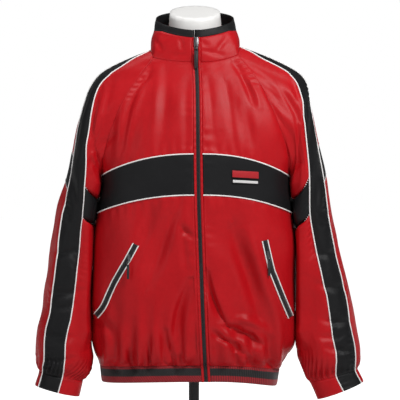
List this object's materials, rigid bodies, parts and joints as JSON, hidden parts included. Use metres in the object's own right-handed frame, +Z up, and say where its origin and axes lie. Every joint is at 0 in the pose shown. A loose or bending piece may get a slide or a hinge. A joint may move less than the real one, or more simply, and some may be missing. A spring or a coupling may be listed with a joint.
{
  "type": "track jacket on a limbless dress form",
  "caption": "Zipped nylon track jacket with a contrast chest band, piped sleeve stripes, zip pockets and rib-knit waistband, filled out on a limbless dress form with a pole and round base",
  "frame": {"origin": "centre of the base plate's underside, the flat_face mount base", "axes": "+Z up the pole, the jacket's front towards -Y, the wearer's left side towards +X"},
  "size_m": [0.6965, 0.3, 1.0228],
  "materials": {
    "red_nylon": "crisp plain-weave nylon with a soft sheen",
    "black_nylon": "crisp plain-weave nylon with a soft sheen",
    "rib_knit": "matt rib knit, red with a black stripe",
    "piping": "smooth corded piping",
    "zip_coil": "nylon coil on woven tape",
    "slider_metal": "dark painted die-cast metal",
    "pull_tab": "moulded matt rubber",
    "form_cover": "smooth stretched satin cover",
    "stand_metal": "black powder coat"
  },
  "bodies": {
    "jacket_on_form": {"front_lower_right": "red_nylon", "front_band_right": "black_nylon", "front_upper_right": "red_nylon", "front_lower_left": "red_nylon", "front_band_left": "black_nylon", "front_upper_left": "red_nylon", "back_lower": "red_nylon", "back_band": "black_nylon", "back_upper": "red_nylon", "waistband": "rib_knit", "sleeve_front_upper_right": "red_nylon", "sleeve_front_band_right": "black_nylon", "sleeve_front_lower_right": "red_nylon", "sleeve_back_upper_right": "red_nylon", "sleeve_back_band_right": "black_nylon", "sleeve_back_lower_right": "red_nylon", "sleeve_stripe_right": "black_nylon", "cuff_stripe_right": "black_nylon", "cuff_right": "red_nylon", "sleeve_front_upper_left": "red_nylon", "sleeve_front_band_left": "black_nylon", "sleeve_front_lower_left": "red_nylon", "sleeve_back_upper_left": "red_nylon", "sleeve_back_band_left": "black_nylon", "sleeve_back_lower_left": "red_nylon", "sleeve_stripe_left": "black_nylon", "cuff_stripe_left": "black_nylon", "cuff_left": "red_nylon", "collar_stand": "red_nylon", "collar_edge": "black_nylon", "zip_placket_right": "red_nylon", "zip_placket_left": "red_nylon", "zip_chain": "zip_coil", "pocket_zip_right": "zip_coil", "pocket_piping_inner_right": "piping", "pocket_piping_outer_right": "piping", "pocket_zip_left": "zip_coil", "pocket_piping_inner_left": "piping", "pocket_piping_outer_left": "piping", "band_piping_lower_right": "piping", "band_piping_upper_right": "piping", "stripe_piping_front_right": "piping", "stripe_piping_back_right": "piping", "band_piping_lower_left": "piping", "band_piping_upper_left": "piping", "stripe_piping_front_left": "piping", "stripe_piping_back_left": "piping", "band_piping_back_lower": "piping", "band_piping_back_upper": "piping", "zip_slider": "slider_metal", "pocket_slider_right": "slider_metal", "pocket_slider_left": "slider_metal", "form": "form_cover", "pole": "stand_metal", "base_plate": "stand_metal"},
    "zip_tab": {"zip_pull": "pull_tab"},
    "pocket_tab_right": {"pocket_pull_right": "pull_tab"},
    "pocket_tab_left": {"pocket_pull_left": "pull_tab"}
  },
  "joints": [
    {"name": "zip_tab_swing", "type": "hinge", "parent": "jacket_on_form", "child": "zip_tab", "pos_m": [0.00507, -0.08047, 0.91491], "axis": [-1, 0, 0], "range_deg": [0, 120]},
    {"name": "pocket_tab_right_swing", "type": "hinge", "parent": "jacket_on_form", "child": "pocket_tab_right", "pos_m": [-0.13549, -0.13194, 0.46879], "axis": [-1, 0, 0], "range_deg": [0, 120]},
    {"name": "pocket_tab_left_swing", "type": "hinge", "parent": "jacket_on_form", "child": "pocket_tab_left", "pos_m": [0.15655, -0.12198, 0.47517], "axis": [-1, 0, 0], "range_deg": [0, 120]}
  ]
}
